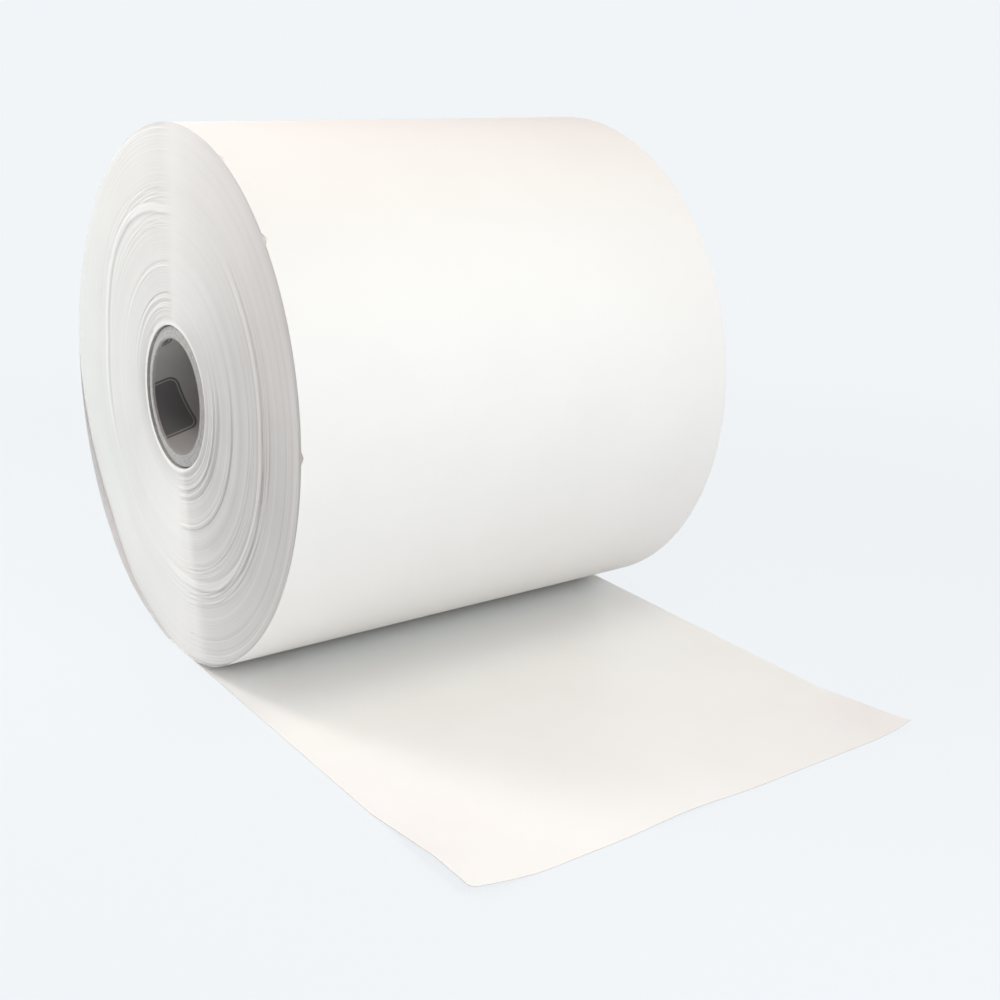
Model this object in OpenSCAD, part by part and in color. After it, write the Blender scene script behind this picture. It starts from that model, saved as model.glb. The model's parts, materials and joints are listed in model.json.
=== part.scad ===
// A roll of receipt paper on its side, with its loose end laid out flat in front.
// X runs along the core, Z is up, and the loose end points to -Y.
// The origin is on the surface that the roll lies on, under the middle of the core.

/* [Web] */
// Width of the paper, which is also the length of the roll
web_w = 80; // [40:1:120]
// Thickness of the paper
paper_t = 0.07; // [0.05:0.01:0.15]

/* [Roll] */
// Outside diameter of the wound roll
roll_d = 88; // [64:1:120]
// How deep the roll's weight presses its underside flat
flat_depth = 0.28; // [0.16:0.02:0.6]

/* [Core] */
// Bore of the board core
bore_d = 19; // [12:0.1:24]
// Thickness of the core's wall, outside which the winding begins
core_wall = 2.2; // [1:0.1:4]
// How far each end of the core stops short of the paper's edge
core_recess = 0.4; // [0.1:0.1:2]
// Width of the worn bevel round the core's four rims
core_bevel = 0.25; // [0.05:0.05:0.4]

/* [Wound ends] */
// How far a single turn drifts out of line with its neighbours
turn_drift = 0.16; // [0.05:0.01:0.4]
// How far the broad band of turns has drifted out
band_drift = 0.4; // [0.1:0.05:1]
// How far the end of the roll is pushed in at its lower back, behind the last turn
dent_depth = 1.5; // [0.2:0.1:3]
// Distance from the axis at which that dent begins
dent_from = 27; // [20:1:31]
// Direction of the dent below the horizontal, in degrees
dent_angle = 44; // [20:1:60]

/* [Loose end] */
// How far the cut end lies in front of the roll's axis
tail_reach = 88; // [66:1:200]
// How far back from the cut end the sheet begins to lift
free_length = 26; // [24:1:40]
// How high the near corner has curled
near_curl = 1.8; // [0:0.1:6]
// How far the near corner's curl runs in along the cut end
near_curl_across = 11; // [5:1:38]
// How far the near corner's curl runs back along the side
near_curl_along = 24; // [8:1:24]
// Share of that run, from the corner, that is up at its full height
near_curl_level = 0.35; // [0:0.05:0.7]
// How high the far corner has curled
far_curl = 1.8; // [0:0.1:6]
// How far the far corner's curl runs in along the cut end
far_curl_across = 6; // [5:1:38]
// How far the far corner's curl runs back along the side
far_curl_along = 18; // [8:1:24]
// Share of that run, from the corner, that is up at its full height
far_curl_level = 0; // [0:0.05:0.7]
// How high the low buckle stands in the cut end
buckle_height = 0.5; // [0:0.1:3]
// Distance from the near side of the web to the middle of the buckle
buckle_place = 36; // [20:1:60]
// Width of the buckle along the cut end
buckle_width = 30; // [20:1:40]
// How far the buckle runs back from the cut end
buckle_length = 24; // [10:1:24]

/* [Hidden] */
$fn = 96;
roll_r = roll_d / 2;
bore_r = bore_d / 2;
core_r = bore_r + core_wall;
core_len = web_w - 2 * core_recess;
// The flattened underside lowers the axis by the depth of the flat
axis_z = roll_r - flat_depth;
// Extra length that lets a cut run right through
past = 5;

// Groups of turns that have drifted, from the core outwards: where each begins and ends as a share
// of the winding's depth, and how many ridges it holds
turn_groups = [
  [0.01, 0.05, 1],
  [0.08, 0.15, 2],
  [0.285, 0.315, 1],
  [0.46, 0.555, 3],
  [0.64, 0.69, 1],
  [0.91, 0.95, 1]
];
// The broad band lies between the fourth group and the fifth
band_start = 0.565;
band_end = 0.625;
band_slope = 0.012;
groups_inside = 4;

function at_depth(share) = core_r + share * (roll_r - core_r);

// One group's ridges as points of radius and drift, each a shallow peak
function ridges(group) =
  let (pitch = (group[1] - group[0]) / group[2])
  [for (i = [0 : group[2] - 1], half = [0, 0.5])
    [at_depth(group[0] + (i + half) * pitch), half > 0 ? turn_drift : 0]];

function group_points(group) = concat(ridges(group), [[at_depth(group[1]), 0]]);

function groups_between(first, last) =
  [for (i = [first : last]) for (p = group_points(turn_groups[i])) p];

function band_points() = [
  [at_depth(band_start), 0],
  [at_depth(band_start + band_slope), band_drift],
  [at_depth(band_end - band_slope), band_drift],
  [at_depth(band_end), 0]
];

// The drift of the turns from the core to past the outside
drift_line = concat(
  [[core_r, 0]],
  groups_between(0, groups_inside - 1),
  band_points(),
  groups_between(groups_inside, len(turn_groups) - 1),
  [[roll_r + past, 0]]
);

// Every turn is one web wide, so what stands out at the near end sinks in at the far end
function end_profile(side) = [for (p = drift_line) [p[0], side * web_w / 2 - p[1]]];

function reversed(list) = [for (i = [len(list) - 1 : -1 : 0]) list[i]];

// Puts what is drawn round Z, or extruded along it, on the roll's axis, with its X across the roll
module on_axis() {
  translate([0, 0, axis_z]) rotate([90, 0, 90]) children();
}

// The outline of the outermost turn, as two half discs: the front one is drawn in by half the paper's
// thickness and up by as much, so the turn closes one thickness above the sheet that leaves under it
module turn_outline(inward) {
  intersection() {
    circle(r = roll_r - inward);
    translate([0, -2 * roll_r]) square([2 * roll_r, 4 * roll_r]);
  }
  intersection() {
    translate([0, paper_t / 2]) circle(r = roll_r - paper_t / 2 - inward);
    translate([-2 * roll_r, -2 * roll_r]) square([2 * roll_r, 4 * roll_r]);
  }
}

module turn_prism(inward) {
  linear_extrude(height = web_w + 2 * past, center = true) turn_outline(inward);
}

// All the turns as one body, with both wound ends
module winding() {
  intersection() {
    rotate_extrude() polygon(concat(end_profile(-1), reversed(end_profile(1))));
    turn_prism(0);
  }
}

// The space that the dent takes out of the near end: all that lies outside a slanting plane, but not
// the last turn, which keeps its place and so stands proud of the turns behind it
module dent() {
  slant = atan(dent_depth / (roll_r - dent_from));
  intersection() {
    rotate([0, 0, -dent_angle])
      translate([dent_from, 0, -web_w / 2])
        rotate([0, -slant, 0])
          translate([-roll_r, -2 * roll_r, -past]) cube([3 * roll_r, 4 * roll_r, past]);
    turn_prism(paper_t);
  }
}

// Takes away what lies below the surface that the roll rests on
module below_ground() {
  translate([-web_w, -roll_d, -past]) cube([2 * web_w, 2 * roll_d, past]);
}

// Number of strips across the loose end, and of rows along its free part
across = 24;
along = 8;

function strip_x(i) = -web_w / 2 + web_w * i / across;

// Share of the way from the start of the free part to the cut end, for row j
function free_share(j) = max(0, j - 1) / along;

function row_y(j) = j == 0 ? 0 : -(tail_reach - free_length * (1 - free_share(j)));

// How steeply a curl falls off from the side edge
curl_fall = 1.3;

// The rise of a corner that has curled, at a distance from its side edge and from the cut end: it
// climbs along the side edge, may level off before the corner, and falls off across the sheet
function curl(from_side, from_end, height, run_across, run_along, level) =
  let (climb = min(1, max(0, 1 - from_end / run_along) / (1 - level)))
  height * climb * pow(max(0, 1 - from_side / run_across), curl_fall);

// The rise of the buckle, which fades to both sides and away from the cut end
function buckle(from_side, from_end) =
  let (off = min(1, abs(from_side - buckle_place) / (buckle_width / 2)))
  buckle_height * (1 + cos(180 * off)) / 2 * pow(max(0, 1 - from_end / buckle_length), 2);

function lift(x, y) =
  let (from_near = web_w / 2 + x, from_far = web_w / 2 - x, from_end = tail_reach + y)
  curl(from_near, from_end, near_curl, near_curl_across, near_curl_along, near_curl_level)
  + curl(from_far, from_end, far_curl, far_curl_across, far_curl_along, far_curl_level)
  + buckle(from_near, from_end);

function sheet_points(height) = [for (j = [0 : along + 1], i = [0 : across])
  let (x = strip_x(i), y = row_y(j)) [x, y, height + lift(x, y)]];

function sheet_index(i, j) = j * (across + 1) + i;

// The loose end: one layer of paper, from under the axis to the cut end
module loose_end() {
  top = sheet_points(paper_t);
  underside = sheet_points(0);
  n = len(top);
  rows = along + 1;
  top_faces = [for (j = [0 : rows - 1], i = [0 : across - 1], half = [0, 1])
    half == 0
      ? [sheet_index(i, j), sheet_index(i + 1, j), sheet_index(i + 1, j + 1)]
      : [sheet_index(i, j), sheet_index(i + 1, j + 1), sheet_index(i, j + 1)]];
  rim = concat(
    [for (i = [0 : across - 1]) sheet_index(i, 0)],
    [for (j = [0 : rows - 1]) sheet_index(across, j)],
    [for (i = [across : -1 : 1]) sheet_index(i, rows)],
    [for (j = [rows : -1 : 1]) sheet_index(0, j)]
  );
  rim_faces = [for (k = [0 : len(rim) - 1], half = [0, 1])
    let (a = rim[k], b = rim[(k + 1) % len(rim)])
    half == 0 ? [b, a, a + n] : [b, a + n, b + n]];
  underside_faces = [for (f = top_faces) [f[2] + n, f[1] + n, f[0] + n]];
  polyhedron(concat(top, underside), concat(top_faces, underside_faces, rim_faces));
}

module paper() {
  color("white") union() {
    difference() {
      on_axis() difference() {
        winding();
        dent();
      }
      below_ground();
    }
    loose_end();
  }
}

// The core's wall in section, with its rims bevelled
module core_section() {
  half = core_len / 2;
  polygon([
    [bore_r, -half + core_bevel], [bore_r + core_bevel, -half],
    [core_r - core_bevel, -half], [core_r, -half + core_bevel],
    [core_r, half - core_bevel], [core_r - core_bevel, half],
    [bore_r + core_bevel, half], [bore_r, half - core_bevel]
  ]);
}

module core() {
  color("darkgray") on_axis() rotate_extrude() core_section();
}

core();
paper();
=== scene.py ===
# %% [markdown]
# # A roll of receipt paper
# The frame below holds two CAD solids: a board core, and the paper wound on it with its loose end.
# They fix every size. This lesson gives each one a finer mesh and a finish, then lights the roll.

# %% Load the frame and read the sizes from it
import json
import math
import random

import bmesh
import bpy
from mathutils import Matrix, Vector


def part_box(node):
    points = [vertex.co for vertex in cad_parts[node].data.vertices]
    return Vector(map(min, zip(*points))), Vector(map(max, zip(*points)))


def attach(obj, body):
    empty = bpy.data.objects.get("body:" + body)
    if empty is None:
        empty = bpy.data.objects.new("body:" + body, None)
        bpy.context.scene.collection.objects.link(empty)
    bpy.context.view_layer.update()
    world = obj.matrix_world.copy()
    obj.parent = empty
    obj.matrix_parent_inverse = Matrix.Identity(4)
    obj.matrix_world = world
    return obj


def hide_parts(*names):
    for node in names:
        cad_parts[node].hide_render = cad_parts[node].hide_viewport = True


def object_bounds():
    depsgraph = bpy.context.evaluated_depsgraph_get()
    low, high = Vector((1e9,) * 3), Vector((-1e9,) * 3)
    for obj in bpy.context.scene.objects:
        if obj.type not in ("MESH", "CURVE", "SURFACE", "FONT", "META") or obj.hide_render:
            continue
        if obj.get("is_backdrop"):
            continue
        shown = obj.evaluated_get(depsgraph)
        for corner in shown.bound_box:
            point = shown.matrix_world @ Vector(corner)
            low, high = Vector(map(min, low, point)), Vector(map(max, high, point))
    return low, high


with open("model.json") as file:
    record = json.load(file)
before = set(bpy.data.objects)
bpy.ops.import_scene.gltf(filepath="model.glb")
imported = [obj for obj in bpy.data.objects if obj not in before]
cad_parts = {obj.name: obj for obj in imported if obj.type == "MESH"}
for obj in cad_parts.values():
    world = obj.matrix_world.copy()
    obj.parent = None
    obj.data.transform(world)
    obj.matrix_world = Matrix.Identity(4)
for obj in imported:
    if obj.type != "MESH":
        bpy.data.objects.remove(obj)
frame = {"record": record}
cad_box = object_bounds()
MM = 0.001

paper_low, paper_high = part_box("paper")
core_low, core_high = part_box("core")
mounts = {mount["name"]: mount for mount in frame["record"]["mounts"]}

web_half = paper_high.x
roll_radius = paper_high.y
core_radius = (core_high.z - core_low.z) / 2
core_half = core_high.x
axis_height = (core_high.z + core_low.z) / 2
bore_radius = mounts["core_bore"]["dims"]["r_mm"] * MM
tail_reach = -paper_low.y
paper_thickness = 0.07 * MM
axis_point = Vector((0, 0, axis_height))
print(f"roll {2 * roll_radius / MM:.1f} mm across, web {2 * web_half / MM:.1f} mm wide")
print(f"loose end {tail_reach / MM:.1f} mm in front of the axis")

# %% [markdown]
# ## Stand where the photographer stood
# A camera has a place, a turn and a lens. These come from matching the outline of the roll, so the
# near end, the long side and the loose end all fall where they should. A small shift of the lens
# keeps the picture's framing without tilting the camera away from the roll.

# %% Camera
CAMERA_PLACE = Vector((-130.5, -221.4, 104.8)) * MM
CAMERA_TURN = (77.54, -2.11, -37.96)
CAMERA_LENS = 52.97
CAMERA_SHIFT = (-0.09, -0.15)
SENSOR_WIDTH = 36
CLIP_START = 10 * MM


def make_camera():
    data = bpy.data.cameras.new("photo_camera")
    data.sensor_width = SENSOR_WIDTH
    data.lens = CAMERA_LENS
    data.shift_x, data.shift_y = CAMERA_SHIFT
    data.clip_start = CLIP_START
    camera = bpy.data.objects.new("photo_camera", data)
    camera.location = CAMERA_PLACE
    camera.rotation_euler = [math.radians(turn) for turn in CAMERA_TURN]
    bpy.context.scene.collection.objects.link(camera)
    bpy.context.scene.camera = camera
    return camera


photo_camera = make_camera()
print("camera", [round(v, 4) for v in photo_camera.location])

# %% [markdown]
# ## Small helpers for working in edit mode
# Operators act on whatever is selected, so each step first clears the selection and then picks
# points by their place. A line is drawn as by hand: one point is extruded again and again.

# %% Helpers for selecting and for drawing a line
def only(piece):
    bpy.ops.object.select_all(action="DESELECT")
    piece.select_set(True)
    bpy.context.view_layer.objects.active = piece


def pick_vertices(piece, wanted):
    """In edit mode, selects the vertices whose place is wanted, and returns how many there are."""
    bpy.ops.mesh.select_mode(type="VERT")
    bpy.ops.mesh.select_all(action="DESELECT")
    mesh = bmesh.from_edit_mesh(piece.data)
    count = 0
    for vertex in mesh.verts:
        if wanted(vertex.co):
            vertex.select_set(True)
            count += 1
    mesh.select_flush(True)
    bmesh.update_edit_mesh(piece.data)
    return count


def draw_line(name, points):
    """A new object holding one open line through the points, left in edit mode."""
    bpy.ops.object.select_all(action="DESELECT")
    bpy.ops.mesh.primitive_plane_add(size=MM)
    piece = bpy.context.active_object
    piece.name = name
    bpy.ops.object.mode_set(mode="EDIT")
    bpy.ops.mesh.select_all(action="SELECT")
    bpy.ops.mesh.merge(type="CENTER")
    bpy.ops.transform.translate(value=points[0])
    for here, there in zip(points, points[1:]):
        bpy.ops.mesh.extrude_region_move(TRANSFORM_OT_translate={"value": there - here})
    return piece


def weigh(piece, name, weight_at):
    """A vertex group whose weights follow a function of place, for a modifier to work by."""
    group = piece.vertex_groups.new(name=name)
    for vertex in piece.data.vertices:
        weight = weight_at(vertex.co)
        if weight > 0:
            group.add([vertex.index], min(1, weight), "REPLACE")
    return group.name


def push(piece, name, direction, distance, weight_at, texture=None):
    """Moves the weighted vertices along X, Y or Z with a Displace modifier, which is then applied."""
    only(piece)
    modifier = piece.modifiers.new(name, "DISPLACE")
    modifier.vertex_group = weigh(piece, name, weight_at)
    modifier.direction = direction
    modifier.strength = distance
    if texture is None:
        modifier.mid_level = 0
    else:
        modifier.texture = texture
        modifier.texture_coords = "LOCAL"
    bpy.ops.object.modifier_apply(modifier=modifier.name)


# %% [markdown]
# ## The turns: one section line, spun like a lathe
# Some 460 turns of paper make the roll. One could array 460 tubes, but a turn is thinner than a
# pixel, and only its cut edge ever shows. So the turns are one solid. Its section is a line with a
# point every quarter of a millimetre across the near end, and it is spun once round the axis. The
# last turn isn't part of it: that comes with the loose end, as one strip.

# %% Draw the section and spin it round the roll's axis
NEAR_STEP = 0.25 * MM
FAR_STEP = 0.5 * MM
AROUND = 280
TINY = 0.0005 * MM
WINDING_INSET = 1.2 * paper_thickness
winding_radius = roll_radius - WINDING_INSET


def even_radii(step):
    count = round((winding_radius - core_radius) / step)
    return [core_radius + (winding_radius - core_radius) * i / count for i in range(count + 1)]


def spin_section(name, section, steps):
    """Draws a closed section above the axis, spins it once round and merges where it meets itself."""
    piece = draw_line(name, section + [section[0].copy()])
    bpy.ops.mesh.select_all(action="SELECT")
    bpy.ops.mesh.remove_doubles(threshold=TINY)
    bpy.ops.mesh.select_all(action="SELECT")
    bpy.ops.mesh.spin(steps=steps, angle=2 * math.pi, center=axis_point, axis=(1, 0, 0))
    bpy.ops.mesh.select_all(action="SELECT")
    bpy.ops.mesh.remove_doubles(threshold=TINY)
    bpy.ops.mesh.normals_make_consistent(inside=False)
    bpy.ops.object.mode_set(mode="OBJECT")
    return piece


def wind_turns():
    near = [Vector((-web_half, 0, axis_height + radius)) for radius in even_radii(NEAR_STEP)]
    far = [Vector((web_half, 0, axis_height + radius)) for radius in even_radii(FAR_STEP)]
    return spin_section("paper_web", near + far[::-1], AROUND)


turns = wind_turns()
print("turns:", len(turns.data.polygons), "faces")

# %% [markdown]
# ## Let the turns drift
# Close up, the end is ringed, because single turns and whole bands of them have slid a fraction of
# a millimetre out of line. Every turn is one web wide, so what stands out at one end sinks in at the
# other, and both ends are moved together. Handling has pressed the rings smooth in places, so two
# short tables say how much of them is left round the roll, by the angle counted from the back (+Y)
# over the top.

# %% Where the turns have drifted
DRIFTED_ZONES = [
    (12.6, 13.6, 0.06),
    (14.0, 17.3, 0.11),
    (20.3, 22.0, 0.06),
    (26.8, 30.0, 0.09),
    (32.2, 34.6, 0.12),
    (39.6, 43.6, 0.06),
]
QUIET_DRIFT = 0.012
SINGLE_TURNS = [
    (12.1, 0.2), (13.0, -0.1), (15.0, 0.2), (15.7, -0.1), (16.2, 0.2), (16.9, -0.14), (21.3, 0.24),
    (21.9, -0.14), (28, 0.06), (34.1, 0.08), (43.1, 0.12),
]
TURN_WIDTH = 0.4
BAND_PLACES = [
    (-180, 31.4), (-160, 31.9), (-140, 32), (-127, 31.6), (-114, 31.1), (-98, 30.4), (-82, 30),
    (-34, 30.2), (-8, 29.6), (8, 29.3), (25, 30.7), (41, 31.9), (55, 32), (70, 31.2), (85, 30.3),
    (100, 30.6), (131, 31.9), (157, 31.8), (180, 31.4),
]
BAND_WIDTH, BAND_SLOPE, BAND_DRIFT = 1, 0.45, 0.22
OVAL_AT_BAND = 0.45
RIM_GROOVE_FROM, RIM_GROOVE_DEPTH = 43.6, 0.35
TURNS_SHOW = [
    (-180, 0.7), (-150, 0.9), (-97, 1), (-92, 0.1), (-25, 0.06), (30, 0.25), (60, 0.8), (85, 0.9),
    (90, 0.08), (150, 0.1), (180, 0.7),
]
BAND_SHOWS = [
    (-180, 1), (-90, 1), (-80, 0.2), (-70, 0.1), (-35, 0.2), (-10, 0.8), (85, 1), (92, 0.08),
    (126, 0.12), (140, 0.7), (180, 1),
]
RIM_GROOVE_SHOWS = [(-180, 1), (-104, 1), (-92, 0), (95, 0), (130, 1), (180, 1)]


def interpolate(table, place):
    """The value of a table of rising places and values at a place, on straight lines between them."""
    for (low, low_value), (high, high_value) in zip(table, table[1:]):
        if place <= high:
            share = max(0, place - low) / (high - low)
            return low_value + share * (high_value - low_value)
    return table[-1][1]


def smooth_step(low, high, value):
    share = min(1, max(0, (value - low) / (high - low)))
    return share * share * (3 - 2 * share)


def draw_turn_drifts(seed):
    """The drift of the single turns, in millimetres, at each radius of the near end."""
    draw = random.Random(seed)
    drifts = []
    for radius in (value / MM for value in even_radii(NEAR_STEP)):
        here = [amount for low, high, amount in DRIFTED_ZONES if low <= radius <= high]
        drift = draw.uniform(-0.5, 1) * max(here + [QUIET_DRIFT])
        for place, height in SINGLE_TURNS:
            drift += height * max(0, 1 - abs(radius - place) / TURN_WIDTH)
        drifts.append((radius, drift))
    return drifts


def polar(co):
    """Distance from the roll's axis in millimetres, and angle in degrees from +Y over the top."""
    across, up = co.y, co.z - axis_height
    return math.hypot(across, up) / MM, math.degrees(math.atan2(up, across))


turn_drifts = draw_turn_drifts(seed=3)
print("largest drift of a single turn:", round(max(drift for _, drift in turn_drifts), 2), "mm")

# %% [markdown]
# ## Move the turns
# A vertex group says how much each point takes part, and a Displace modifier moves it. This keeps
# the rings whole where a cut would end them. The same is done for the lower back, where the end has
# been pushed in: the last turn kept its place there, and stands proud of it.

# %% Drift, press flat and push in
DRIFT_LIMIT = 0.6
DENT_FROM = 24
DENT_DEPTHS = [
    (-180, 0), (-96, 0), (-82, 0.45), (-72, 0.67), (-60, 0.78), (-50, 1.05), (-41, 1.2), (-28, 0.8),
    (-20, 0.5), (-8, 0.15), (0, 0), (180, 0),
]
DEEPEST_DENT = max(depth for _, depth in DENT_DEPTHS)
UNEVENNESS = 0.2 * MM
UNEVEN_SIZE = 18 * MM
UNEVEN_UP_TO = 42


def press_flat(piece, height):
    """Brings every point that lies lower than height up to it."""
    only(piece)
    bpy.ops.object.mode_set(mode="EDIT")
    count = pick_vertices(piece, lambda co: co.z < height)
    bpy.ops.transform.resize(value=(1, 1, 0), center_override=(0, 0, height))
    bpy.ops.object.mode_set(mode="OBJECT")
    return count


def drift_at(co):
    radius, angle = polar(co)
    drift = interpolate(turn_drifts, radius) * interpolate(TURNS_SHOW, angle)
    band_place = interpolate(BAND_PLACES, angle) + OVAL_AT_BAND * math.sin(2 * math.radians(angle))
    beside = smooth_step(BAND_WIDTH / 2, BAND_WIDTH / 2 + BAND_SLOPE, abs(radius - band_place))
    drift += BAND_DRIFT * (1 - beside) * interpolate(BAND_SHOWS, angle)
    groove = smooth_step(RIM_GROOVE_FROM, winding_radius / MM, radius)
    return drift - RIM_GROOVE_DEPTH * groove * interpolate(RIM_GROOVE_SHOWS, angle)


def dent_weight(co):
    if co.x > 0:
        return 0
    radius, angle = polar(co)
    outward = max(0, (radius - DENT_FROM) / (winding_radius / MM - DENT_FROM))
    return outward * interpolate(DENT_DEPTHS, angle) / DEEPEST_DENT


def uneven_weight(co):
    return 1 if co.x < 0 and polar(co)[0] < UNEVEN_UP_TO else 0


push(turns, "drift_out", "X", -DRIFT_LIMIT * MM, lambda co: drift_at(co) / DRIFT_LIMIT)
push(turns, "drift_in", "X", DRIFT_LIMIT * MM, lambda co: -drift_at(co) / DRIFT_LIMIT)
push(turns, "dent", "X", DEEPEST_DENT * MM, dent_weight)
uneven = bpy.data.textures.new("uneven_turns", "CLOUDS")
uneven.noise_scale = UNEVEN_SIZE
push(turns, "uneven", "X", UNEVENNESS, uneven_weight, texture=uneven)
pressed = press_flat(turns, WINDING_INSET)
print("pressed flat:", pressed, "points")

# %% [markdown]
# ## The last turn and the loose end: one strip of paper
# The last turn runs off the roll at the bottom and becomes the loose end, so both are one strip.
# It starts as the cut edge, is extruded back to where the roll lies, and is then spun half a turn
# twice: the second half has its centre half a thickness higher, so the strip closes on itself one
# thickness up, as a real winding does.

# %% Draw the strip
STRIP_COLUMNS = 40
FREE_LENGTH = 30 * MM
FREE_ROWS = 20
LYING_ROWS = 6
HALF_TURN_STEPS = AROUND // 2
underside = axis_height - roll_radius


def lay_strip():
    shares = [2 * column / STRIP_COLUMNS - 1 for column in range(STRIP_COLUMNS + 1)]
    cut_end = [Vector((web_half * share, -tail_reach, underside)) for share in shares]
    piece = draw_line("last_turn", cut_end)
    bpy.ops.mesh.select_all(action="SELECT")
    for _ in range(FREE_ROWS):
        move = {"value": (0, FREE_LENGTH / FREE_ROWS, 0)}
        bpy.ops.mesh.extrude_region_move(TRANSFORM_OT_translate=move)
    for _ in range(LYING_ROWS):
        move = {"value": (0, (tail_reach - FREE_LENGTH) / LYING_ROWS, 0)}
        bpy.ops.mesh.extrude_region_move(TRANSFORM_OT_translate=move)
    bpy.ops.mesh.spin(steps=HALF_TURN_STEPS, angle=math.pi, center=axis_point, axis=(-1, 0, 0))
    bpy.ops.object.mode_set(mode="OBJECT")
    press_flat(piece, 0)
    bpy.ops.object.mode_set(mode="EDIT")
    pick_vertices(piece, lambda co: co.z > axis_height + roll_radius - TINY)
    raised = axis_point + Vector((0, 0, paper_thickness / 2))
    bpy.ops.mesh.spin(steps=HALF_TURN_STEPS, angle=math.pi, center=raised, axis=(-1, 0, 0))
    pick_vertices(piece, lambda co: co.y < TINY and co.z < paper_thickness and abs(co.z) > TINY)
    bpy.ops.transform.resize(value=(1, 1, 0), center_override=(0, 0, paper_thickness))
    bpy.ops.object.mode_set(mode="OBJECT")
    return piece


strip = lay_strip()
print("strip:", len(strip.data.polygons), "faces")

# %% [markdown]
# ## What handling did to the paper
# Both corners of the cut end have curled up. The near one is worn round, and the far one has been
# drawn out to a tip. The cut end has a low buckle in it. The rims have a few small nicks, and the end
# two small pits. The corner is rounded with a vertex bevel, nicks and pits are single vertices pushed
# in, and the curls are weighted displacements.

# %% Round the near corner, nick the rims and pit the end
NEAR_ROUNDING = 0.9 * MM
# Each nick has its side, its angle in degrees and its depth in millimetres; a pit has its angle, its
# distance from the axis and its depth
NICKS = [(-1, 115.1, 0.45), (-1, 138.1, 0.6), (-1, 178.7, 0.4), (1, 139.3, 0.5)]
PITS = [(-97.5, 39.8, 0.35), (46, 12.7, 0.3)]


def push_in_nearest(piece, side, radius, turn_angle, depth):
    """Pushes in the vertex of one end that lies closest to a radius and an angle."""
    angle = math.radians(turn_angle)
    place = axis_point + radius * MM * Vector((0, math.cos(angle), math.sin(angle)))
    place.x = side * web_half
    nearest = min(piece.data.vertices, key=lambda vertex: (vertex.co - place).length)
    nearest.co.x -= side * depth * MM


only(strip)
bpy.ops.object.mode_set(mode="EDIT")
corners = pick_vertices(strip, lambda co: co.y < -tail_reach + TINY and co.x < -web_half + TINY)
bpy.ops.mesh.bevel(affect="VERTICES", offset=NEAR_ROUNDING, segments=4)
bpy.ops.object.mode_set(mode="OBJECT")
for side, turn_angle, depth in NICKS:
    push_in_nearest(strip, side, roll_radius / MM, turn_angle, depth)
for turn_angle, radius, depth in PITS:
    push_in_nearest(turns, -1, radius, turn_angle, depth)
print(corners, "corner rounded,", len(NICKS), "nicks,", len(PITS), "pits")

# %% Curl the corners and buckle the cut end
NEAR_HEIGHT, FAR_HEIGHT = 1.7 * MM, 1.8 * MM
CURL_FALL = 1.3
NEAR_CURL = {"across": 11 * MM, "along": 24 * MM, "level": 0.35}
FAR_CURL = {"across": 5 * MM, "along": 18 * MM, "level": 0}
TIP_PULL = {"X": 1.05 * MM, "Y": -1 * MM, "Z": -0.4 * MM}
TIP_SIZE = 5 * MM
CURL_TOP = 3 * MM
BUCKLE_HEIGHT = 0.5 * MM
BUCKLE_PLACE = -4 * MM
BUCKLE_WIDTH = 28 * MM
BUCKLE_LENGTH = 24 * MM


def curl_weight(side, across, along, level):
    """A curl climbs along the side edge, may level off before the corner, and falls off inwards."""
    def weight(co):
        if co.z > CURL_TOP or co.y > -tail_reach + FREE_LENGTH:
            return 0
        from_side = web_half - side * co.x
        from_end = co.y + tail_reach
        climb = min(1, max(0, 1 - from_end / along) / (1 - level))
        return climb * max(0, 1 - from_side / across) ** CURL_FALL

    return weight


def tip_weight(co):
    from_corner = math.hypot(web_half - co.x, co.y + tail_reach)
    return max(0, 1 - from_corner / TIP_SIZE) ** 2 if co.z < CURL_TOP else 0


def buckle_weight(co):
    if co.z > CURL_TOP:
        return 0
    off = abs(co.x - BUCKLE_PLACE) / (BUCKLE_WIDTH / 2)
    from_end = (co.y + tail_reach) / BUCKLE_LENGTH
    if off > 1 or from_end > 1:
        return 0
    return (1 + math.cos(math.pi * off)) / 2 * (1 - from_end) ** 2


push(strip, "buckle", "Z", BUCKLE_HEIGHT, buckle_weight)
push(strip, "near_curl", "Z", NEAR_HEIGHT, curl_weight(-1, **NEAR_CURL))
push(strip, "far_curl", "Z", FAR_HEIGHT, curl_weight(1, **FAR_CURL))
for direction, distance in TIP_PULL.items():
    push(strip, "tip", direction, distance, tip_weight)
free_heights = [v.co.z for v in strip.data.vertices if v.co.y < -tail_reach + FREE_LENGTH]
print("cut end rises to", round(max(free_heights) / MM, 2), "mm")

# %% [markdown]
# ## Give the strip its thickness and join it to the turns
# The strip is still a sheet with no thickness. Its faces are turned outwards first, so Solidify can
# put the paper on the roll's side of it. One could leave the two shapes as two objects, but it is one
# web of paper, so they are joined into one piece.

# %% Solidify, join and shade
def top_normal(piece):
    top = max(piece.data.polygons, key=lambda face: face.center.z)
    return top.normal.z


only(strip)
bpy.ops.object.mode_set(mode="EDIT")
bpy.ops.mesh.select_all(action="SELECT")
bpy.ops.mesh.normals_make_consistent(inside=False)
bpy.ops.object.mode_set(mode="OBJECT")
if top_normal(strip) < 0:
    bpy.ops.object.mode_set(mode="EDIT")
    bpy.ops.mesh.select_all(action="SELECT")
    bpy.ops.mesh.flip_normals()
    bpy.ops.object.mode_set(mode="OBJECT")
thickness = strip.modifiers.new("thickness", "SOLIDIFY")
thickness.thickness = paper_thickness
thickness.offset = -1
bpy.ops.object.modifier_apply(modifier="thickness")

only(strip)
turns.select_set(True)
bpy.context.view_layer.objects.active = turns
bpy.ops.object.join()
paper_web = turns
paper_web.vertex_groups.clear()
triangles = sum(len(face.vertices) - 2 for face in paper_web.data.polygons)
print("paper_web:", triangles, "triangles")

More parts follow.
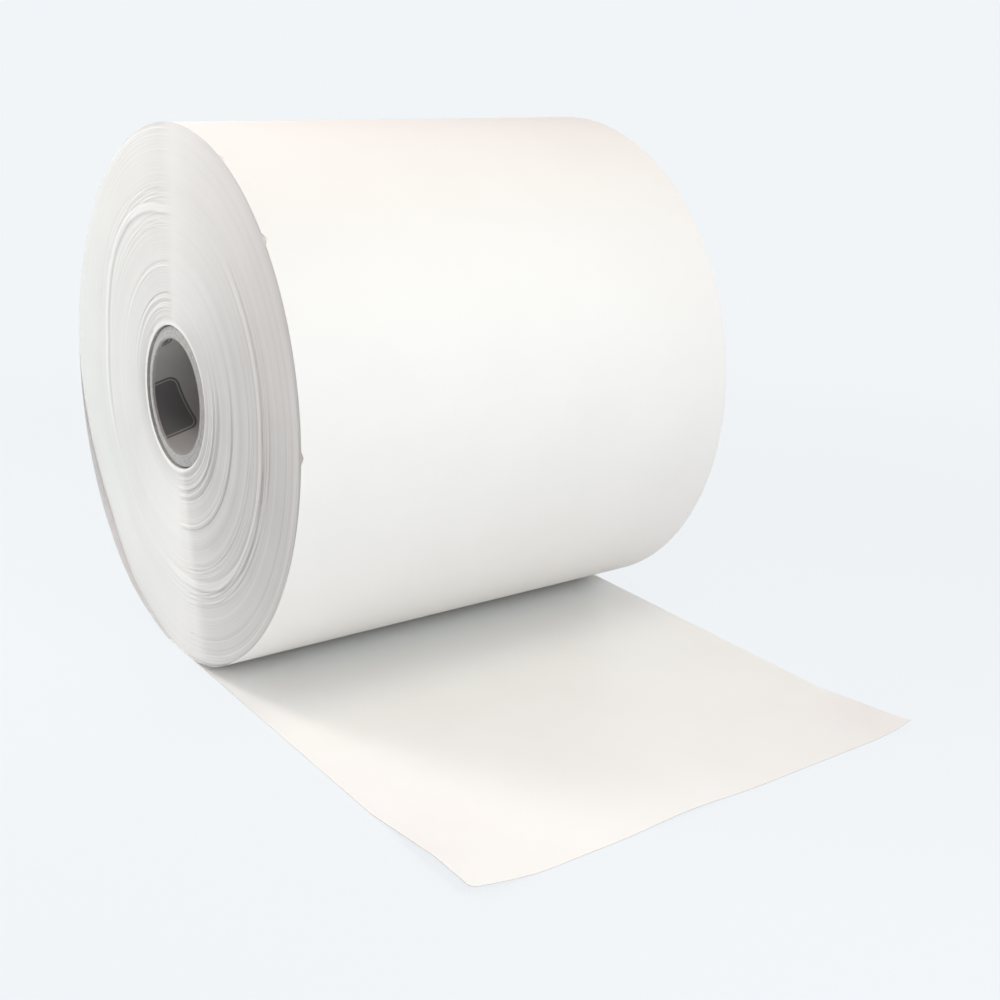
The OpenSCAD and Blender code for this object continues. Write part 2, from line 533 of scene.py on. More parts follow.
# %% [markdown]
# ## A roll is never quite round
# Paper is soft, and this roll has sagged a little towards its lower back: it bulges there and at the
# upper front, and is drawn in between them, by less than a millimetre. One could scale the mesh along
# a slant, but that would lift the flat underside and stretch the core's hole. So the points are pushed
# outwards or inwards by their angle, more at the near end, and not at all at the core or the floor.

# %% Push the roll out of round
OVAL_NEAR, OVAL_FAR = 0.75, 0.2
OVAL_FADE = 6 * MM
# Beyond this distance from the axis lies the loose end, which stays as it is
SHEET_RADIUS = roll_radius / MM + 2
PAPER_SMOOTH_BELOW = 30


def oval_at(co):
    """How far a point moves away from the axis, in millimetres, and its angle in radians."""
    radius, angle = polar(co)
    angle = math.radians(angle)
    if radius > SHEET_RADIUS:
        return 0, angle
    outward = max(0, (radius - core_radius / MM) / ((roll_radius - core_radius) / MM))
    share = (web_half - co.x) / (2 * web_half)
    amount = OVAL_FAR + share * (OVAL_NEAR - OVAL_FAR)
    return -amount * math.sin(2 * angle) * outward * smooth_step(0, OVAL_FADE, co.z), angle


def oval_weight(direction, sign):
    def weight(co):
        away, angle = oval_at(co)
        part = math.cos(angle) if direction == "Y" else math.sin(angle)
        return sign * away * part / OVAL_NEAR

    return weight


for direction in ("Y", "Z"):
    for sign in (1, -1):
        push(paper_web, "oval", direction, sign * OVAL_NEAR * MM, oval_weight(direction, sign))
paper_web.vertex_groups.clear()
only(paper_web)
bpy.ops.object.shade_smooth_by_angle(angle=math.radians(PAPER_SMOOTH_BELOW))
print("roll's height:", round(max(v.co.z for v in paper_web.data.vertices) / MM, 2), "mm")

# %% [markdown]
# ## The board core
# The core is a tube wound from strips of grey board. Its outer ply stops a little short of the paper
# and has shrunk from it, which leaves a gap in shadow; the paper's wall in the gap gets the grey board
# finish further down, as painted shade. The inner plies have swollen, so the soft, worn rim
# of the bore stands level with the paper again. Fine grooves mark the plies. As with the turns, the
# section is drawn as a line and spun, which gives the plies, the rims and the gap in one go.

# %% Draw the core's section and spin it
PLIES = 5
PLY_GROOVE_DEPTH = 0.06
PLY_GROOVE_WIDTH = 0.07
RIM_BEVEL = 0.25
RIM_RISE = 0.38
GAP_WIDTH = 0.22
GAP_DEPTH = 1.6
CORE_AROUND = 160
CORE_SMOOTH_BELOW = 40


def ply_line():
    """Points of radius and depth, in millimetres, from the bore's wall to the outside."""
    inside, outside = bore_radius / MM, core_radius / MM
    ply = (outside - inside) / PLIES

    def rise(radius):
        return RIM_RISE * (1 - smooth_step(inside, outside - ply, radius))

    line = [
        (inside, RIM_BEVEL * 2 - RIM_RISE),
        (inside + RIM_BEVEL * 0.3, RIM_BEVEL * 0.5 - RIM_RISE),
        (inside + RIM_BEVEL, -rise(inside + RIM_BEVEL)),
    ]
    for number in range(1, PLIES):
        middle = inside + number * ply
        groove = [(-PLY_GROOVE_WIDTH, 0), (0, PLY_GROOVE_DEPTH), (PLY_GROOVE_WIDTH, 0.01)]
        for aside, depth in groove:
            line.append((middle + aside, depth - rise(middle + aside)))
    line += [(outside - GAP_WIDTH - 0.05, 0), (outside - GAP_WIDTH, 0.1), (outside, GAP_DEPTH)]
    return line


def wind_core():
    section = [
        Vector((side * (core_half - depth * MM), 0, axis_height + radius * MM))
        for side, line in ((-1, ply_line()), (1, list(reversed(ply_line()))))
        for radius, depth in line
    ]
    return spin_section("board_core", section, CORE_AROUND)


board_core = wind_core()
only(board_core)
bpy.ops.object.shade_smooth_by_angle(angle=math.radians(CORE_SMOOTH_BELOW))
print("board_core:", len(board_core.data.polygons), "faces")

# %% [markdown]
# ## How materials are put together here
# Each finish is a small network of nodes. These helpers add a node with its values and join its
# sockets, so the networks below read as lists of what each finish is made of. A table of places and
# values is looked up through a colour ramp, by the distance from the axis or the angle about it.

# %% Helpers for material nodes
def new_material(name):
    material = bpy.data.materials.new(name)
    material.use_nodes = True
    return material, material.node_tree, material.node_tree.nodes["Principled BSDF"]


def add_node(tree, kind, settings=None, values=None):
    node = tree.nodes.new(kind)
    for name, value in (settings or {}).items():
        setattr(node, name, value)
    for name, value in (values or {}).items():
        node.inputs[name].default_value = value
    return node


def join(tree, source, target):
    tree.links.new(source, target)


def math_node(tree, operation, first, second=None, third=None):
    """One sum on sockets or plain numbers, and the socket of its result."""
    node = add_node(tree, "ShaderNodeMath", {"operation": operation})
    for socket, value in zip(node.inputs, (first, second, third)):
        if value is None:
            continue
        if isinstance(value, (int, float)):
            socket.default_value = value
        else:
            join(tree, value, socket)
    return node.outputs[0]


def map_range(tree, value, low, high, new_low, new_high):
    node = add_node(
        tree,
        "ShaderNodeMapRange",
        {"clamp": True},
        {"From Min": low, "From Max": high, "To Min": new_low, "To Max": new_high},
    )
    join(tree, value, node.inputs["Value"])
    return node.outputs["Result"]


def noise(tree, place, scale, detail, roughness=0.5, distortion=0.0):
    node = add_node(
        tree,
        "ShaderNodeTexNoise",
        None,
        {"Scale": scale, "Detail": detail, "Roughness": roughness, "Distortion": distortion},
    )
    join(tree, place, node.inputs["Vector"])
    return node.outputs["Fac"]


def blend_colours(tree, share, first, second):
    node = add_node(tree, "ShaderNodeMix", {"data_type": "RGBA"})
    join(tree, share, node.inputs[0])
    for socket, value in ((node.inputs[6], first), (node.inputs[7], second)):
        if isinstance(value, tuple):
            socket.default_value = (*value, 1)
        else:
            join(tree, value, socket)
    return node.outputs[2]


def ramp(tree, value, stops):
    """A table of rising places between 0 and 1 with their values, looked up by a socket."""
    node = add_node(tree, "ShaderNodeValToRGB")
    elements = node.color_ramp.elements
    elements.remove(elements[1])
    elements[0].position, elements[0].color = stops[0][0], (*[stops[0][1]] * 3, 1)
    for position, level in stops[1:]:
        elements.new(position).color = (level, level, level, 1)
    join(tree, value, node.inputs["Fac"])
    return node.outputs["Color"]


def bump(tree, height, strength, distance, before=None):
    node = add_node(tree, "ShaderNodeBump", None, {"Strength": strength, "Distance": distance})
    join(tree, height, node.inputs["Height"])
    if before is not None:
        join(tree, before, node.inputs["Normal"])
    return node.outputs["Normal"]


def round_the_axis(tree):
    """Sockets for the place, and for the distance from the axis, the angle about it and how far along."""
    place = add_node(tree, "ShaderNodeTexCoord").outputs["Object"]
    from_axis = add_node(tree, "ShaderNodeVectorMath", {"operation": "SUBTRACT"})
    join(tree, place, from_axis.inputs[0])
    from_axis.inputs[1].default_value = axis_point
    parts = add_node(tree, "ShaderNodeSeparateXYZ")
    join(tree, from_axis.outputs[0], parts.inputs[0])
    across, up = parts.outputs["Y"], parts.outputs["Z"]
    squares = [math_node(tree, "POWER", part, 2) for part in (across, up)]
    radius = math_node(tree, "SQRT", math_node(tree, "ADD", *squares))
    angle = math_node(tree, "ARCTAN2", up, across)
    return place, radius, angle, parts.outputs["X"]


def by_angle(tree, angle, table):
    """The value that a table in degrees gives for an angle in radians."""
    turn = math_node(tree, "MULTIPLY_ADD", angle, 1 / (2 * math.pi), 0.5)
    return ramp(tree, turn, [(degrees / 360 + 0.5, level) for degrees, level in table])


# %% [markdown]
# ## The face of the paper
# Receipt paper has a smooth coat that is whiter than its edge, with a soft sheen. Nothing on it is
# printed. Three faint things keep it from looking like plastic: cloudiness from how the pulp
# settled, fibres a few tenths of a millimetre long, and bands round the roll where the web is a
# hair thicker or thinner. A much greyer copy of the same paper is painted shade: it goes only on the
# inside of the last turn where it stands proud at the lower back, which lies in shadow.

# %% Coated face material
FACE_WHITE = (0.9, 0.888, 0.862)
FACE_CLOUD = (0.886, 0.873, 0.846)
# Painted shade: the greyer copy of the paper, for the shadowed inside of the proud last turn
INSIDE_SHADE_GREY = (0.74, 0.75, 0.75)
INSIDE_SHADE_CLOUD = (0.68, 0.69, 0.69)
CLOUDS_PER_METRE = 75
FIBRES_PER_METRE = 2600
FIBRE_LENGTHS = (2.2, 1, 1)
WEB_BANDS_PER_METRE = 160
ROUND_THE_ROLL = (1, 0.03, 0.03)


def paper_face(name, white, cloud):
    material, tree, shader = new_material(name)
    place = add_node(tree, "ShaderNodeTexCoord").outputs["Object"]
    clouds = noise(tree, place, CLOUDS_PER_METRE, 3, 0.55)
    share = map_range(tree, clouds, 0.42, 0.72, 0, 1)
    join(tree, blend_colours(tree, share, white, cloud), shader.inputs["Base Color"])
    stretched = add_node(tree, "ShaderNodeMapping")
    stretched.inputs["Scale"].default_value = FIBRE_LENGTHS
    join(tree, place, stretched.inputs["Vector"])
    fibres = noise(tree, stretched.outputs["Vector"], FIBRES_PER_METRE, 3, 0.6)
    web_bands = add_node(tree, "ShaderNodeMapping")
    web_bands.inputs["Scale"].default_value = ROUND_THE_ROLL
    join(tree, place, web_bands.inputs["Vector"])
    bands = noise(tree, web_bands.outputs["Vector"], WEB_BANDS_PER_METRE, 2)
    banded = bump(tree, bands, 0.5, 0.00004)
    join(tree, bump(tree, fibres, 0.35, 0.00001, banded), shader.inputs["Normal"])
    gloss = map_range(tree, fibres, 0.3, 0.7, 0.52, 0.66)
    join(tree, gloss, shader.inputs["Roughness"])
    shader.inputs["Specular IOR Level"].default_value = 0.35
    return material


face_material = paper_face("receipt_paper_face", FACE_WHITE, FACE_CLOUD)
# The second copy is painted shade, for the shadowed inside of the proud last turn
shaded_inside_material = paper_face("receipt_paper_inside_painted_shade", INSIDE_SHADE_GREY, INSIDE_SHADE_CLOUD)
print("face:", len(face_material.node_tree.nodes), "nodes")

# %% [markdown]
# ## The wound edge
# On the ends one looks at the cut edges of the turns. They are uncoated, so greyer and without
# sheen. A table by angle paints shade and sheen round the end: the front, towards the loose end, is
# painted greyer and the bottom palest. Tables by distance from the axis make the innermost turns paler
# and shift the tone a little further out, and paint shade just outside the core at some angles. Each
# ring that stands out gets a painted highlight on its crest and painted shade at its foot, and a fine
# noise along the radius stands for the single turns between them.

# %% Wound edge material
EDGE_PALE = (0.86, 0.85, 0.823)
EDGE_GREY = (0.45, 0.445, 0.43)
TURN_NOISE_PER_METRE = 5200
GROUP_NOISE_PER_METRE = 620
WANDER_PER_METRE = 24
PATCHES_PER_METRE = 46
RING_CONTRAST = 0.3
# Painted shade and sheen by angle: greyer at the front, towards the loose end, and palest at the bottom
SHADE_AND_SHEEN_ROUND = [
    (-180, 0.62), (-150, 0.64), (-125, 0.56), (-112, 0.45), (-106, 0.38), (-100, 0.1), (-90, 0.03),
    (-60, 0.18), (-30, 0.36), (0, 0.4), (30, 0.4), (65, 0.41), (84, 0.35), (92, 0.22), (120, 0.31),
    (150, 0.52), (180, 0.62),
]
LOOSE_TURNS = [(-180, 0.8), (-107, 0.8), (-100, 0.15), (95, 0.15), (140, 0.4), (180, 0.8)]
TONE_OUTWARD = [
    (11.7, -0.25), (12.3, -0.25), (12.7, 0), (18, 0), (22, -0.02), (26, 0.02), (30, 0), (34, 0.02),
    (38, -0.02), (44, -0.01),
]
# Painted shade just outside the core, greyer at the angles listed next
SHADE_BY_CORE = [(11.7, 0), (12.3, 0), (12.7, 0.39), (16.5, 0), (44, 0)]
CORE_SHADE_SHOWS = [
    (-180, 0), (-150, 0), (-125, 0.25), (-112, 0.55), (-98, 0.7), (-30, 0.7), (0, 1), (30, 0.65),
    (60, 0), (90, 0.08), (120, 0.5), (150, 0.08), (180, 0),
]
# Painted highlights and shade on the rings: below zero is paler, a highlight on a crest; above zero is
# greyer, shade at a foot or in a gap
RING_HIGHLIGHTS_AND_SHADE = [
    (11.9, 0), (12.1, -0.3), (12.5, 0), (13, 0.4), (13.4, -0.2), (14.2, 0.2), (14.6, 0),
    (15, -0.7), (15.5, 0), (15.8, 0.5), (16.2, -0.7), (16.8, 0.5), (17.2, 0), (20.8, 0.1),
    (21.3, -0.7), (21.9, 0.5), (22.3, 0), (42.6, 0), (43.1, -0.3), (43.5, 0.35), (44, 0.35),
]
BAND_MIDDLE = 31.2
# Painted highlight on the band and painted shade in the lines either side of it
BAND_HIGHLIGHTS_AND_SHADE = [
    (27.4, 0), (27.8, 0.15), (28.3, -0.2), (28.8, 0.2), (29.3, -0.2), (29.8, 0.1), (30.3, 0.45),
    (30.7, -0.7), (31.2, -0.5), (31.7, -0.7), (32.1, 0.4), (32.7, -0.3), (33.1, 0.25), (33.7, -0.35),
    (34.1, 0.2), (34.8, 0),
]
TURN_WANDER, RING_WANDER = 0.6 * MM, 0.4 * MM
ZONE_FADE = 0.1
QUIET_SHARE = 0.25


def along_radius(tree, radius, wander, per_metre, detail):
    """Noise that runs along the radius alone."""
    wandering = math_node(tree, "MULTIPLY_ADD", wander, TURN_WANDER, radius)
    node = add_node(
        tree,
        "ShaderNodeTexNoise",
        {"noise_dimensions": "1D"},
        {"Scale": per_metre, "Detail": detail, "Roughness": 0.6},
    )
    join(tree, wandering, node.inputs["W"])
    return node.outputs["Fac"]


def by_radius(tree, radius, table, wander):
    """The value that a table in millimetres gives for a distance from the axis that wanders a little."""
    lowest = min(value for _, value in table)
    outside = roll_radius / MM
    wandering = math_node(tree, "MULTIPLY_ADD", wander, RING_WANDER, radius)
    share = math_node(tree, "DIVIDE", wandering, roll_radius + RING_WANDER / 2)
    looked_up = ramp(tree, share, [(place / outside, value - lowest) for place, value in table])
    return math_node(tree, "ADD", looked_up, lowest)


def beside_band(tree, radius, angle):
    """The radius, shifted at each angle so that the band's middle lies at BAND_MIDDLE."""
    places = [place for _, place in BAND_PLACES]
    highest, span = max(places), max(places) - min(places)
    table = [(degrees, (highest - place) / span) for degrees, place in BAND_PLACES]
    shifted = math_node(tree, "MULTIPLY_ADD", by_angle(tree, angle, table), span * MM, radius)
    return math_node(tree, "ADD", shifted, (BAND_MIDDLE - highest) * MM)


def in_drifted_zones(tree, radius):
    """One where the turns have drifted, and less elsewhere."""
    outside = roll_radius / MM
    stops = [(0, QUIET_SHARE)]
    for low, high, amount in DRIFTED_ZONES:
        shown = 0.5 + 4 * amount
        stops += [(low - ZONE_FADE, QUIET_SHARE), (low + ZONE_FADE, shown)]
        stops += [(high - ZONE_FADE, shown), (high + ZONE_FADE, QUIET_SHARE)]
    share = math_node(tree, "DIVIDE", radius, roll_radius)
    return ramp(tree, share, [(place / outside, level) for place, level in stops])


def wound_edge():
    material, tree, shader = new_material("wound_paper_edge")
    place, radius, angle, _ = round_the_axis(tree)
    wander = noise(tree, place, WANDER_PER_METRE, 2)
    single = along_radius(tree, radius, wander, TURN_NOISE_PER_METRE, 3)
    groups = along_radius(tree, radius, wander, GROUP_NOISE_PER_METRE, 2)
    turns_show = by_angle(tree, angle, TURNS_SHOW)
    shown = math_node(tree, "MULTIPLY", in_drifted_zones(tree, radius), turns_show)
    # Painted highlights and shade on the rings and the band, painted shade and sheen by angle, and
    # painted shade by the core
    rings = math_node(tree, "MULTIPLY", by_radius(tree, radius, RING_HIGHLIGHTS_AND_SHADE, wander), turns_show)
    band_tone = by_radius(tree, beside_band(tree, radius, angle), BAND_HIGHLIGHTS_AND_SHADE, wander)
    bands = math_node(tree, "MULTIPLY_ADD", band_tone, by_angle(tree, angle, BAND_SHOWS), rings)
    outward = by_radius(tree, radius, TONE_OUTWARD, wander)
    broad = math_node(tree, "ADD", by_angle(tree, angle, SHADE_AND_SHEEN_ROUND), outward)
    by_core = by_radius(tree, radius, SHADE_BY_CORE, wander)
    broad = math_node(tree, "MULTIPLY_ADD", by_core, by_angle(tree, angle, CORE_SHADE_SHOWS), broad)
    lines = math_node(tree, "MULTIPLY", map_range(tree, single, 0.3, 0.7, -0.35, 0.3), shown)
    loose = by_angle(tree, angle, LOOSE_TURNS)
    faint = math_node(tree, "MULTIPLY", map_range(tree, groups, 0.3, 0.7, -0.1, 0.1), loose)
    patches = map_range(tree, noise(tree, place, PATCHES_PER_METRE, 3), 0.35, 0.75, -0.02, 0.08)
    tone = math_node(tree, "MULTIPLY_ADD", bands, RING_CONTRAST, broad)
    for part in (lines, faint, patches):
        tone = math_node(tree, "ADD", tone, part)
    join(tree, blend_colours(tree, tone, EDGE_PALE, EDGE_GREY), shader.inputs["Base Color"])
    grooves = math_node(tree, "MULTIPLY", single, math_node(tree, "ADD", shown, 0.05))
    ringed = bump(tree, math_node(tree, "MULTIPLY", bands, -1), 0.35, 0.0002)
    join(tree, bump(tree, grooves, 0.6, 0.00005, ringed), shader.inputs["Normal"])
    shader.inputs["Roughness"].default_value = 0.9
    shader.inputs["Specular IOR Level"].default_value = 0.2
    return material


edge_material = wound_edge()
print("edge:", len(edge_material.node_tree.nodes), "nodes")

# %% [markdown]
# ## Board, and the lining of the bore
# The core's ends show cut grey board, speckled with stray fibres. Its lining is a darker, smoother
# strip laid as a helix, with a seam where one lap meets the next and plain dark patches printed on
# it. A helix is a straight line once the tube is unrolled, so places on the strip come from the angle
# and the distance along the axis. A patch is a rectangle with rounded corners: the distance to its
# edge says what is inked, and where the thin line just inside the edge runs.

# %% Board materials
BOARD_GREY = (0.56, 0.555, 0.54)
BOARD_DARK = (0.36, 0.355, 0.34)
LINING_GREY = (0.42, 0.418, 0.41)
LINING_PRINT = (0.11, 0.11, 0.11)
LAP_LENGTH = 0.2
SEAM_PLACE = 5.4
PATCH_LENGTH, PATCH_WIDTH, PATCH_ROUNDING = 13.4, 9.8, 1.8
FIRST_PATCH = -40.55
FIRST_ROW, ROW_SPACING = 12.05, 17.15
LINE_INSET = 0.45
LINE_WIDTH = 0.22
SEAM_WIDTH = 0.3
BOARD_WANDER_PER_METRE = 60
BOARD_PLIES_PER_METRE = 4200
BOARD_PULP_PER_METRE = 1500
LINING_PULP_PER_METRE = 900


def board_end():
    material, tree, shader = new_material("grey_board_end")
    place, radius, _, _ = round_the_axis(tree)
    wander = noise(tree, place, BOARD_WANDER_PER_METRE, 2)
    plies = along_radius(tree, radius, wander, BOARD_PLIES_PER_METRE, 2)
    pulp = noise(tree, place, BOARD_PULP_PER_METRE, 4, 0.65)
    share = math_node(tree, "MULTIPLY_ADD", plies, 0.6, map_range(tree, pulp, 0.35, 0.75, 0, 0.6))
    join(tree, blend_colours(tree, share, BOARD_GREY, BOARD_DARK), shader.inputs["Base Color"])
    join(tree, bump(tree, pulp, 0.6, 0.00005), shader.inputs["Normal"])
    shader.inputs["Roughness"].default_value = 0.92
    shader.inputs["Specular IOR Level"].default_value = 0.15
    return material


def from_nearest(tree, value, first, period):
    """Distance to the nearest of a row of places that starts at first and goes on by equal periods."""
    periods = math_node(tree, "MULTIPLY_ADD", value, 1 / period, 0.5 - first / period)
    share = math_node(tree, "FRACT", periods)
    from_middle = math_node(tree, "ABSOLUTE", math_node(tree, "SUBTRACT", share, 0.5))
    return math_node(tree, "MULTIPLY", from_middle, period)


def on_strip(tree, angle, lengthwise):
    """Places along and across the unrolled strip, in millimetres; across is counted from the seam."""
    around = 2 * math.pi * bore_radius / MM
    slope = math.atan(around * MM / LAP_LENGTH)
    unrolled = math_node(tree, "MULTIPLY", angle, bore_radius / MM)
    forward = math_node(tree, "MULTIPLY", lengthwise, 1 / MM)
    uphill = math_node(tree, "MULTIPLY", unrolled, math.sin(slope))
    along = math_node(tree, "MULTIPLY_ADD", forward, math.cos(slope), uphill)
    sideways = math_node(tree, "MULTIPLY_ADD", forward, -math.sin(slope), SEAM_PLACE)
    across = math_node(tree, "MULTIPLY_ADD", unrolled, math.cos(slope), sideways)
    strip_width = around * math.cos(slope)
    laps = math_node(tree, "FRACT", math_node(tree, "DIVIDE", across, strip_width))
    return along, math_node(tree, "MULTIPLY", laps, strip_width), around * math.sin(slope)


def patch_edge(tree, along, across, patch_spacing):
    """Distance to the edge of the nearest printed patch, and less than nothing inside."""
    beyond = []
    for value, first, period, size in (
        (along, FIRST_PATCH, patch_spacing, PATCH_LENGTH),
        (across, FIRST_ROW, ROW_SPACING, PATCH_WIDTH),
    ):
        from_middle = from_nearest(tree, value, first, period)
        past = math_node(tree, "SUBTRACT", from_middle, size / 2 - PATCH_ROUNDING)
        beyond.append(math_node(tree, "POWER", math_node(tree, "MAXIMUM", past, 0), 2))
    away = math_node(tree, "SQRT", math_node(tree, "ADD", *beyond))
    return math_node(tree, "SUBTRACT", away, PATCH_ROUNDING)


def bore_lining():
    material, tree, shader = new_material("bore_lining")
    place, _, angle, lengthwise = round_the_axis(tree)
    along, across, patch_spacing = on_strip(tree, angle, lengthwise)
    edge = patch_edge(tree, along, across, patch_spacing)
    inked = map_range(tree, edge, -0.05, 0.05, 1, 0)
    line = math_node(tree, "COMPARE", edge, -LINE_INSET, LINE_WIDTH / 2)
    printed = math_node(tree, "MULTIPLY_ADD", line, -0.7, inked)
    seam = math_node(tree, "LESS_THAN", across, SEAM_WIDTH)
    pulp = noise(tree, place, LINING_PULP_PER_METRE, 4, 0.6)
    grey = blend_colours(tree, map_range(tree, pulp, 0.3, 0.75, 0, 0.5), LINING_GREY, BOARD_DARK)
    inked_grey = blend_colours(tree, math_node(tree, "MULTIPLY", printed, 0.92), grey, LINING_PRINT)
    shade = blend_colours(tree, math_node(tree, "MULTIPLY", seam, 0.5), inked_grey, LINING_PRINT)
    join(tree, shade, shader.inputs["Base Color"])
    join(tree, bump(tree, pulp, 0.3, 0.00003), shader.inputs["Normal"])
    shader.inputs["Roughness"].default_value = 0.55
    shader.inputs["Specular IOR Level"].default_value = 0.35
    return material


board_material = board_end()
lining_material = bore_lining()
for material in (board_material, lining_material):
    print(material.name, len(material.node_tree.nodes), "nodes")

# %% [markdown]
# ## Put each finish on its faces
# Faces are chosen by where they are and which way they point: what looks along the core is a cut
# edge, and the rest is the face of the paper. Inside the core, what lies on the bore is lining. Two
# choices are painted shade: the inside of the proud last turn gets the greyer copy of the paper, and
# the paper's wall against the core gets grey board.

# %% Assign the materials by place
END_ZONE = 2.5 * MM
END_FACING = 0.35
CUT_FACING = 0.8
RIM_ZONE = 3 * MM
ON_IT = 0.02 * MM


def from_axis(co):
    return math.hypot(co.y, co.z - axis_height)


def assign(piece, *finishes):
    """Gives every face the last finish whose test it passes; the first finish has no test."""
    piece.data.materials.clear()
    counts = [0] * len(finishes)
    for material, _ in finishes:
        piece.data.materials.append(material)
    for face in piece.data.polygons:
        passed = [number for number, (_, test) in enumerate(finishes) if test is None or test(face)]
        face.material_index = passed[-1]
        counts[passed[-1]] += 1
    return counts


def is_cut_edge(face):
    end_on = abs(face.center.x) > web_half - END_ZONE and abs(face.normal.x) > END_FACING
    cut_end = face.center.y < -tail_reach + MM and face.normal.y < -CUT_FACING
    return end_on or cut_end


# Painted shade: faces on the inside of the proud last turn, at the lower back of the near end, get the
# greyer copy of the paper
def is_shaded_inside_rim(face):
    inwards = face.normal.y * face.center.y + face.normal.z * (face.center.z - axis_height) < 0
    at_lower_back = face.center.y > 0 and face.center.z < axis_height
    at_end = face.center.x < -web_half + RIM_ZONE
    return inwards and at_lower_back and at_end and from_axis(face.center) > winding_radius


# Painted shade: the paper's own wall against the core gets the grey board finish, so that the gap at each
# end looks dark
def is_shaded_against_core(face):
    return from_axis(face.center) < core_radius + ON_IT


def is_lining(face):
    return from_axis(face.center) < bore_radius + ON_IT


counts = assign(
    paper_web,
    (face_material, None),
    (shaded_inside_material, is_shaded_inside_rim),
    (edge_material, is_cut_edge),
    (board_material, is_shaded_against_core),
)
print("paper_web faces: face, inside, cut edge, against the core", counts)
counts = assign(board_core, (board_material, None), (lining_material, is_lining))
print("board_core faces: end, lining", counts)

# %% Fit the pieces to the frame
fitted = ((paper_web, "paper", "receipt_paper"), (board_core, "core", "core_board"))
for piece, node, slot_name in fitted:
    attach(piece, "root")
    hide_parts(node)

# %% [markdown]
# ## Floor and background
# The roll was photographed against an even pale blue-white. A wide floor takes the roll's soft
# shadow. Seen by the camera, both the floor and the world show the background's colour, the floor
# wholly so a little way off, and no horizon crosses the picture. For everything else they are an
# ordinary floor and an ordinary sky.

# %% Floor
BACKGROUND = (0.879, 0.913, 0.939)
FLOOR_ALBEDO = (0.88, 0.92, 0.94)
PLAIN_NEAR = 0.9
PLAIN_FROM, PLAIN_TO = 0.13, 0.25
FLOOR_RADIUS = 4
FLOOR_DROP = 0.02 * MM


def lay_floor():
    bpy.ops.object.select_all(action="DESELECT")
    bpy.ops.mesh.primitive_circle_add(
        vertices=128, radius=FLOOR_RADIUS, fill_type="NGON", location=(0, 0, -FLOOR_DROP)
    )
    floor = bpy.context.active_object
    floor.name = "floor"
    material = bpy.data.materials.new("pale_floor")
    material.use_nodes = True
    tree = material.node_tree
    tree.nodes.clear()
    lit = add_node(tree, "ShaderNodeBsdfDiffuse", None, {"Color": (*FLOOR_ALBEDO, 1)})
    plain = add_node(tree, "ShaderNodeEmission", None, {"Color": (*BACKGROUND, 1), "Strength": 1})
    rays = add_node(tree, "ShaderNodeLightPath")
    seen = math_node(tree, "MAXIMUM", rays.outputs["Is Camera Ray"], rays.outputs["Is Glossy Ray"])
    seen = math_node(tree, "MAXIMUM", seen, rays.outputs["Is Transmission Ray"])
    distance = add_node(tree, "ShaderNodeVectorMath", {"operation": "LENGTH"})
    join(tree, add_node(tree, "ShaderNodeTexCoord").outputs["Object"], distance.inputs[0])
    plainness = map_range(tree, distance.outputs["Value"], PLAIN_FROM, PLAIN_TO, PLAIN_NEAR, 1)
    share = math_node(tree, "MULTIPLY", seen, plainness)
    mixed = add_node(tree, "ShaderNodeMixShader")
    join(tree, share, mixed.inputs[0])
    join(tree, lit.outputs[0], mixed.inputs[1])
    join(tree, plain.outputs[0], mixed.inputs[2])
    out = add_node(tree, "ShaderNodeOutputMaterial")
    join(tree, mixed.outputs[0], out.inputs["Surface"])
    floor.data.materials.append(material)
    floor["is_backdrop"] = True
    return floor


floor = lay_floor()
print("floor", 2 * FLOOR_RADIUS, "m across")

# %% [markdown]
# ## Soft studio light
# Soft light comes from above, as in a white room. Two round panels in front, one low and one over the
# loose end, make the upper front of the roll and the end of the sheet the brightest, and let the
# sheet fall into the roll's shade. Two more beside the near end keep its left side lighter than its
# right, and two more, behind and beside the far end, keep those sides from going dull. One could light
# it evenly from all round, but then the roll would look flat.

# %% World and lamps
SKY = (0.675, 0.556, 0.567)
PANELS = [
    ("front_low", (0, -0.25, 0.15), 0.1, (0.174, 0.216, 0.23)),
    ("front_over", (0, -0.12, 0.25), 0.1, (0.105, 0.107, 0.085)),
    ("near_high", (-0.12, 0.06, 0.16), 0.06, (0.106, 0.104, 0.101)),
    ("near_low", (-0.16, 0.12, 0.05), 0.08, (0.059, 0.079, 0.081)),
    ("behind", (0.03, 0.36, 0.09), 0.1, (0.14, 0.18, 0.18)),
    ("far_side", (0.28, 0.2, 0.035), 0.08, (0.17, 0.22, 0.21)),
]


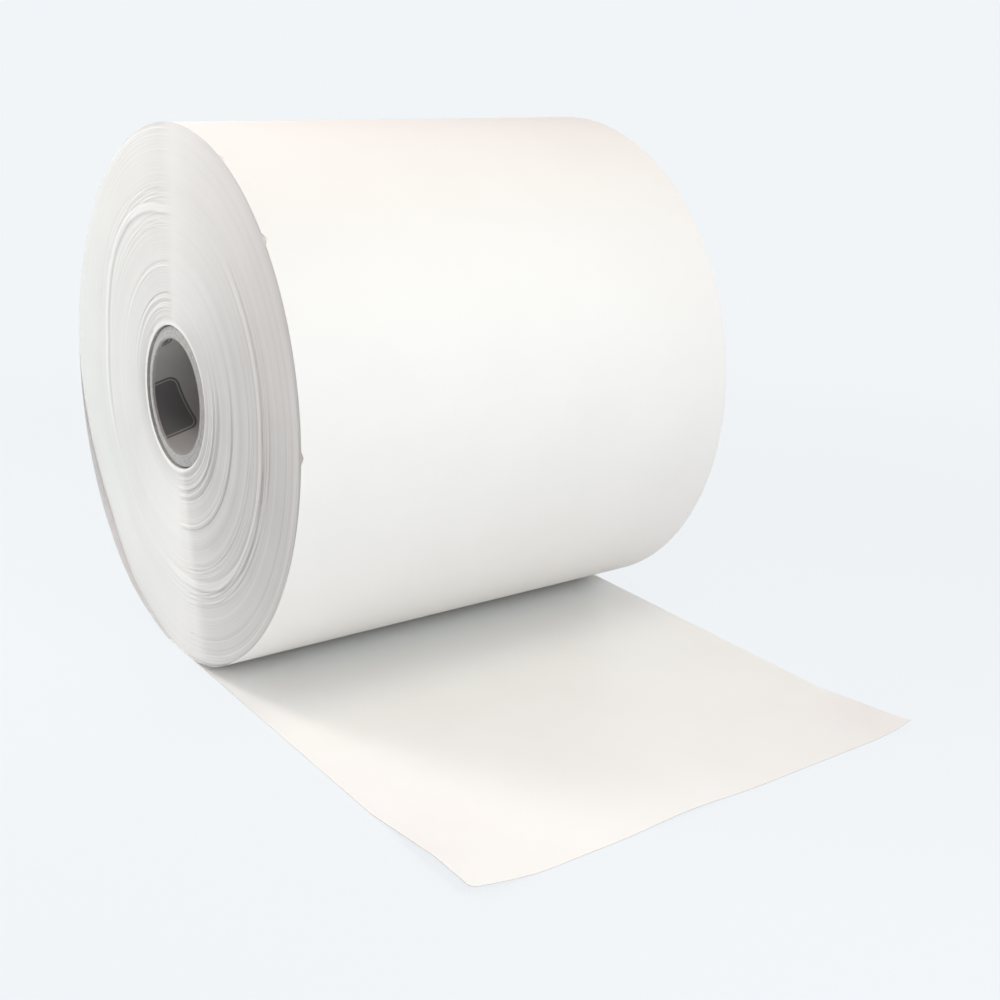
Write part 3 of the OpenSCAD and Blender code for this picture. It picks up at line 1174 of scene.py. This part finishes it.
def light_the_world():
    world = bpy.data.worlds.new("studio")
    bpy.context.scene.world = world
    world.use_nodes = True
    tree = world.node_tree
    tree.nodes.clear()
    toward = add_node(tree, "ShaderNodeSeparateXYZ")
    join(tree, add_node(tree, "ShaderNodeTexCoord").outputs["Generated"], toward.inputs[0])
    height = math_node(tree, "MULTIPLY_ADD", toward.outputs["Z"], 0.5, 0.5)
    sky = add_node(tree, "ShaderNodeBackground", None, {"Color": (*SKY, 1)})
    join(tree, height, sky.inputs["Strength"])
    plain = add_node(tree, "ShaderNodeBackground", None, {"Color": (*BACKGROUND, 1), "Strength": 1})
    rays = add_node(tree, "ShaderNodeLightPath")
    seen = math_node(tree, "MAXIMUM", rays.outputs["Is Camera Ray"], rays.outputs["Is Glossy Ray"])
    seen = math_node(tree, "MAXIMUM", seen, rays.outputs["Is Transmission Ray"])
    mixed = add_node(tree, "ShaderNodeMixShader")
    join(tree, seen, mixed.inputs[0])
    join(tree, sky.outputs[0], mixed.inputs[1])
    join(tree, plain.outputs[0], mixed.inputs[2])
    out = add_node(tree, "ShaderNodeOutputWorld")
    join(tree, mixed.outputs[0], out.inputs["Surface"])


def add_panel(name, place, size, power):
    """A round lamp that looks at the middle of the near end; its power is in watts for each colour."""
    data = bpy.data.lights.new(name, "AREA")
    data.shape = "DISK"
    data.size = size
    data.energy = max(power)
    data.color = [part / max(power) for part in power]
    lamp = bpy.data.objects.new(name, data)
    lamp.location = place
    bpy.context.scene.collection.objects.link(lamp)
    away = Vector(place) - Vector((-web_half, 0, axis_height))
    lamp.rotation_euler = away.to_track_quat("Z", "Y").to_euler()


light_the_world()
for panel in PANELS:
    add_panel(*panel)
bpy.context.scene.view_settings.view_transform = "Standard"

# %% [markdown]
# ## Sizes of the solids and of the finished model
# The finer meshes must fill the same space as the solids that they stand for; both sizes are printed.

# %% Sizes of the solids and of the finished model
visual_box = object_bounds()
for name, (low, high) in (("solids", cad_box), ("finished", visual_box)):
    print(name, [round((b - a) / MM, 2) for a, b in zip(low, high)], "mm")
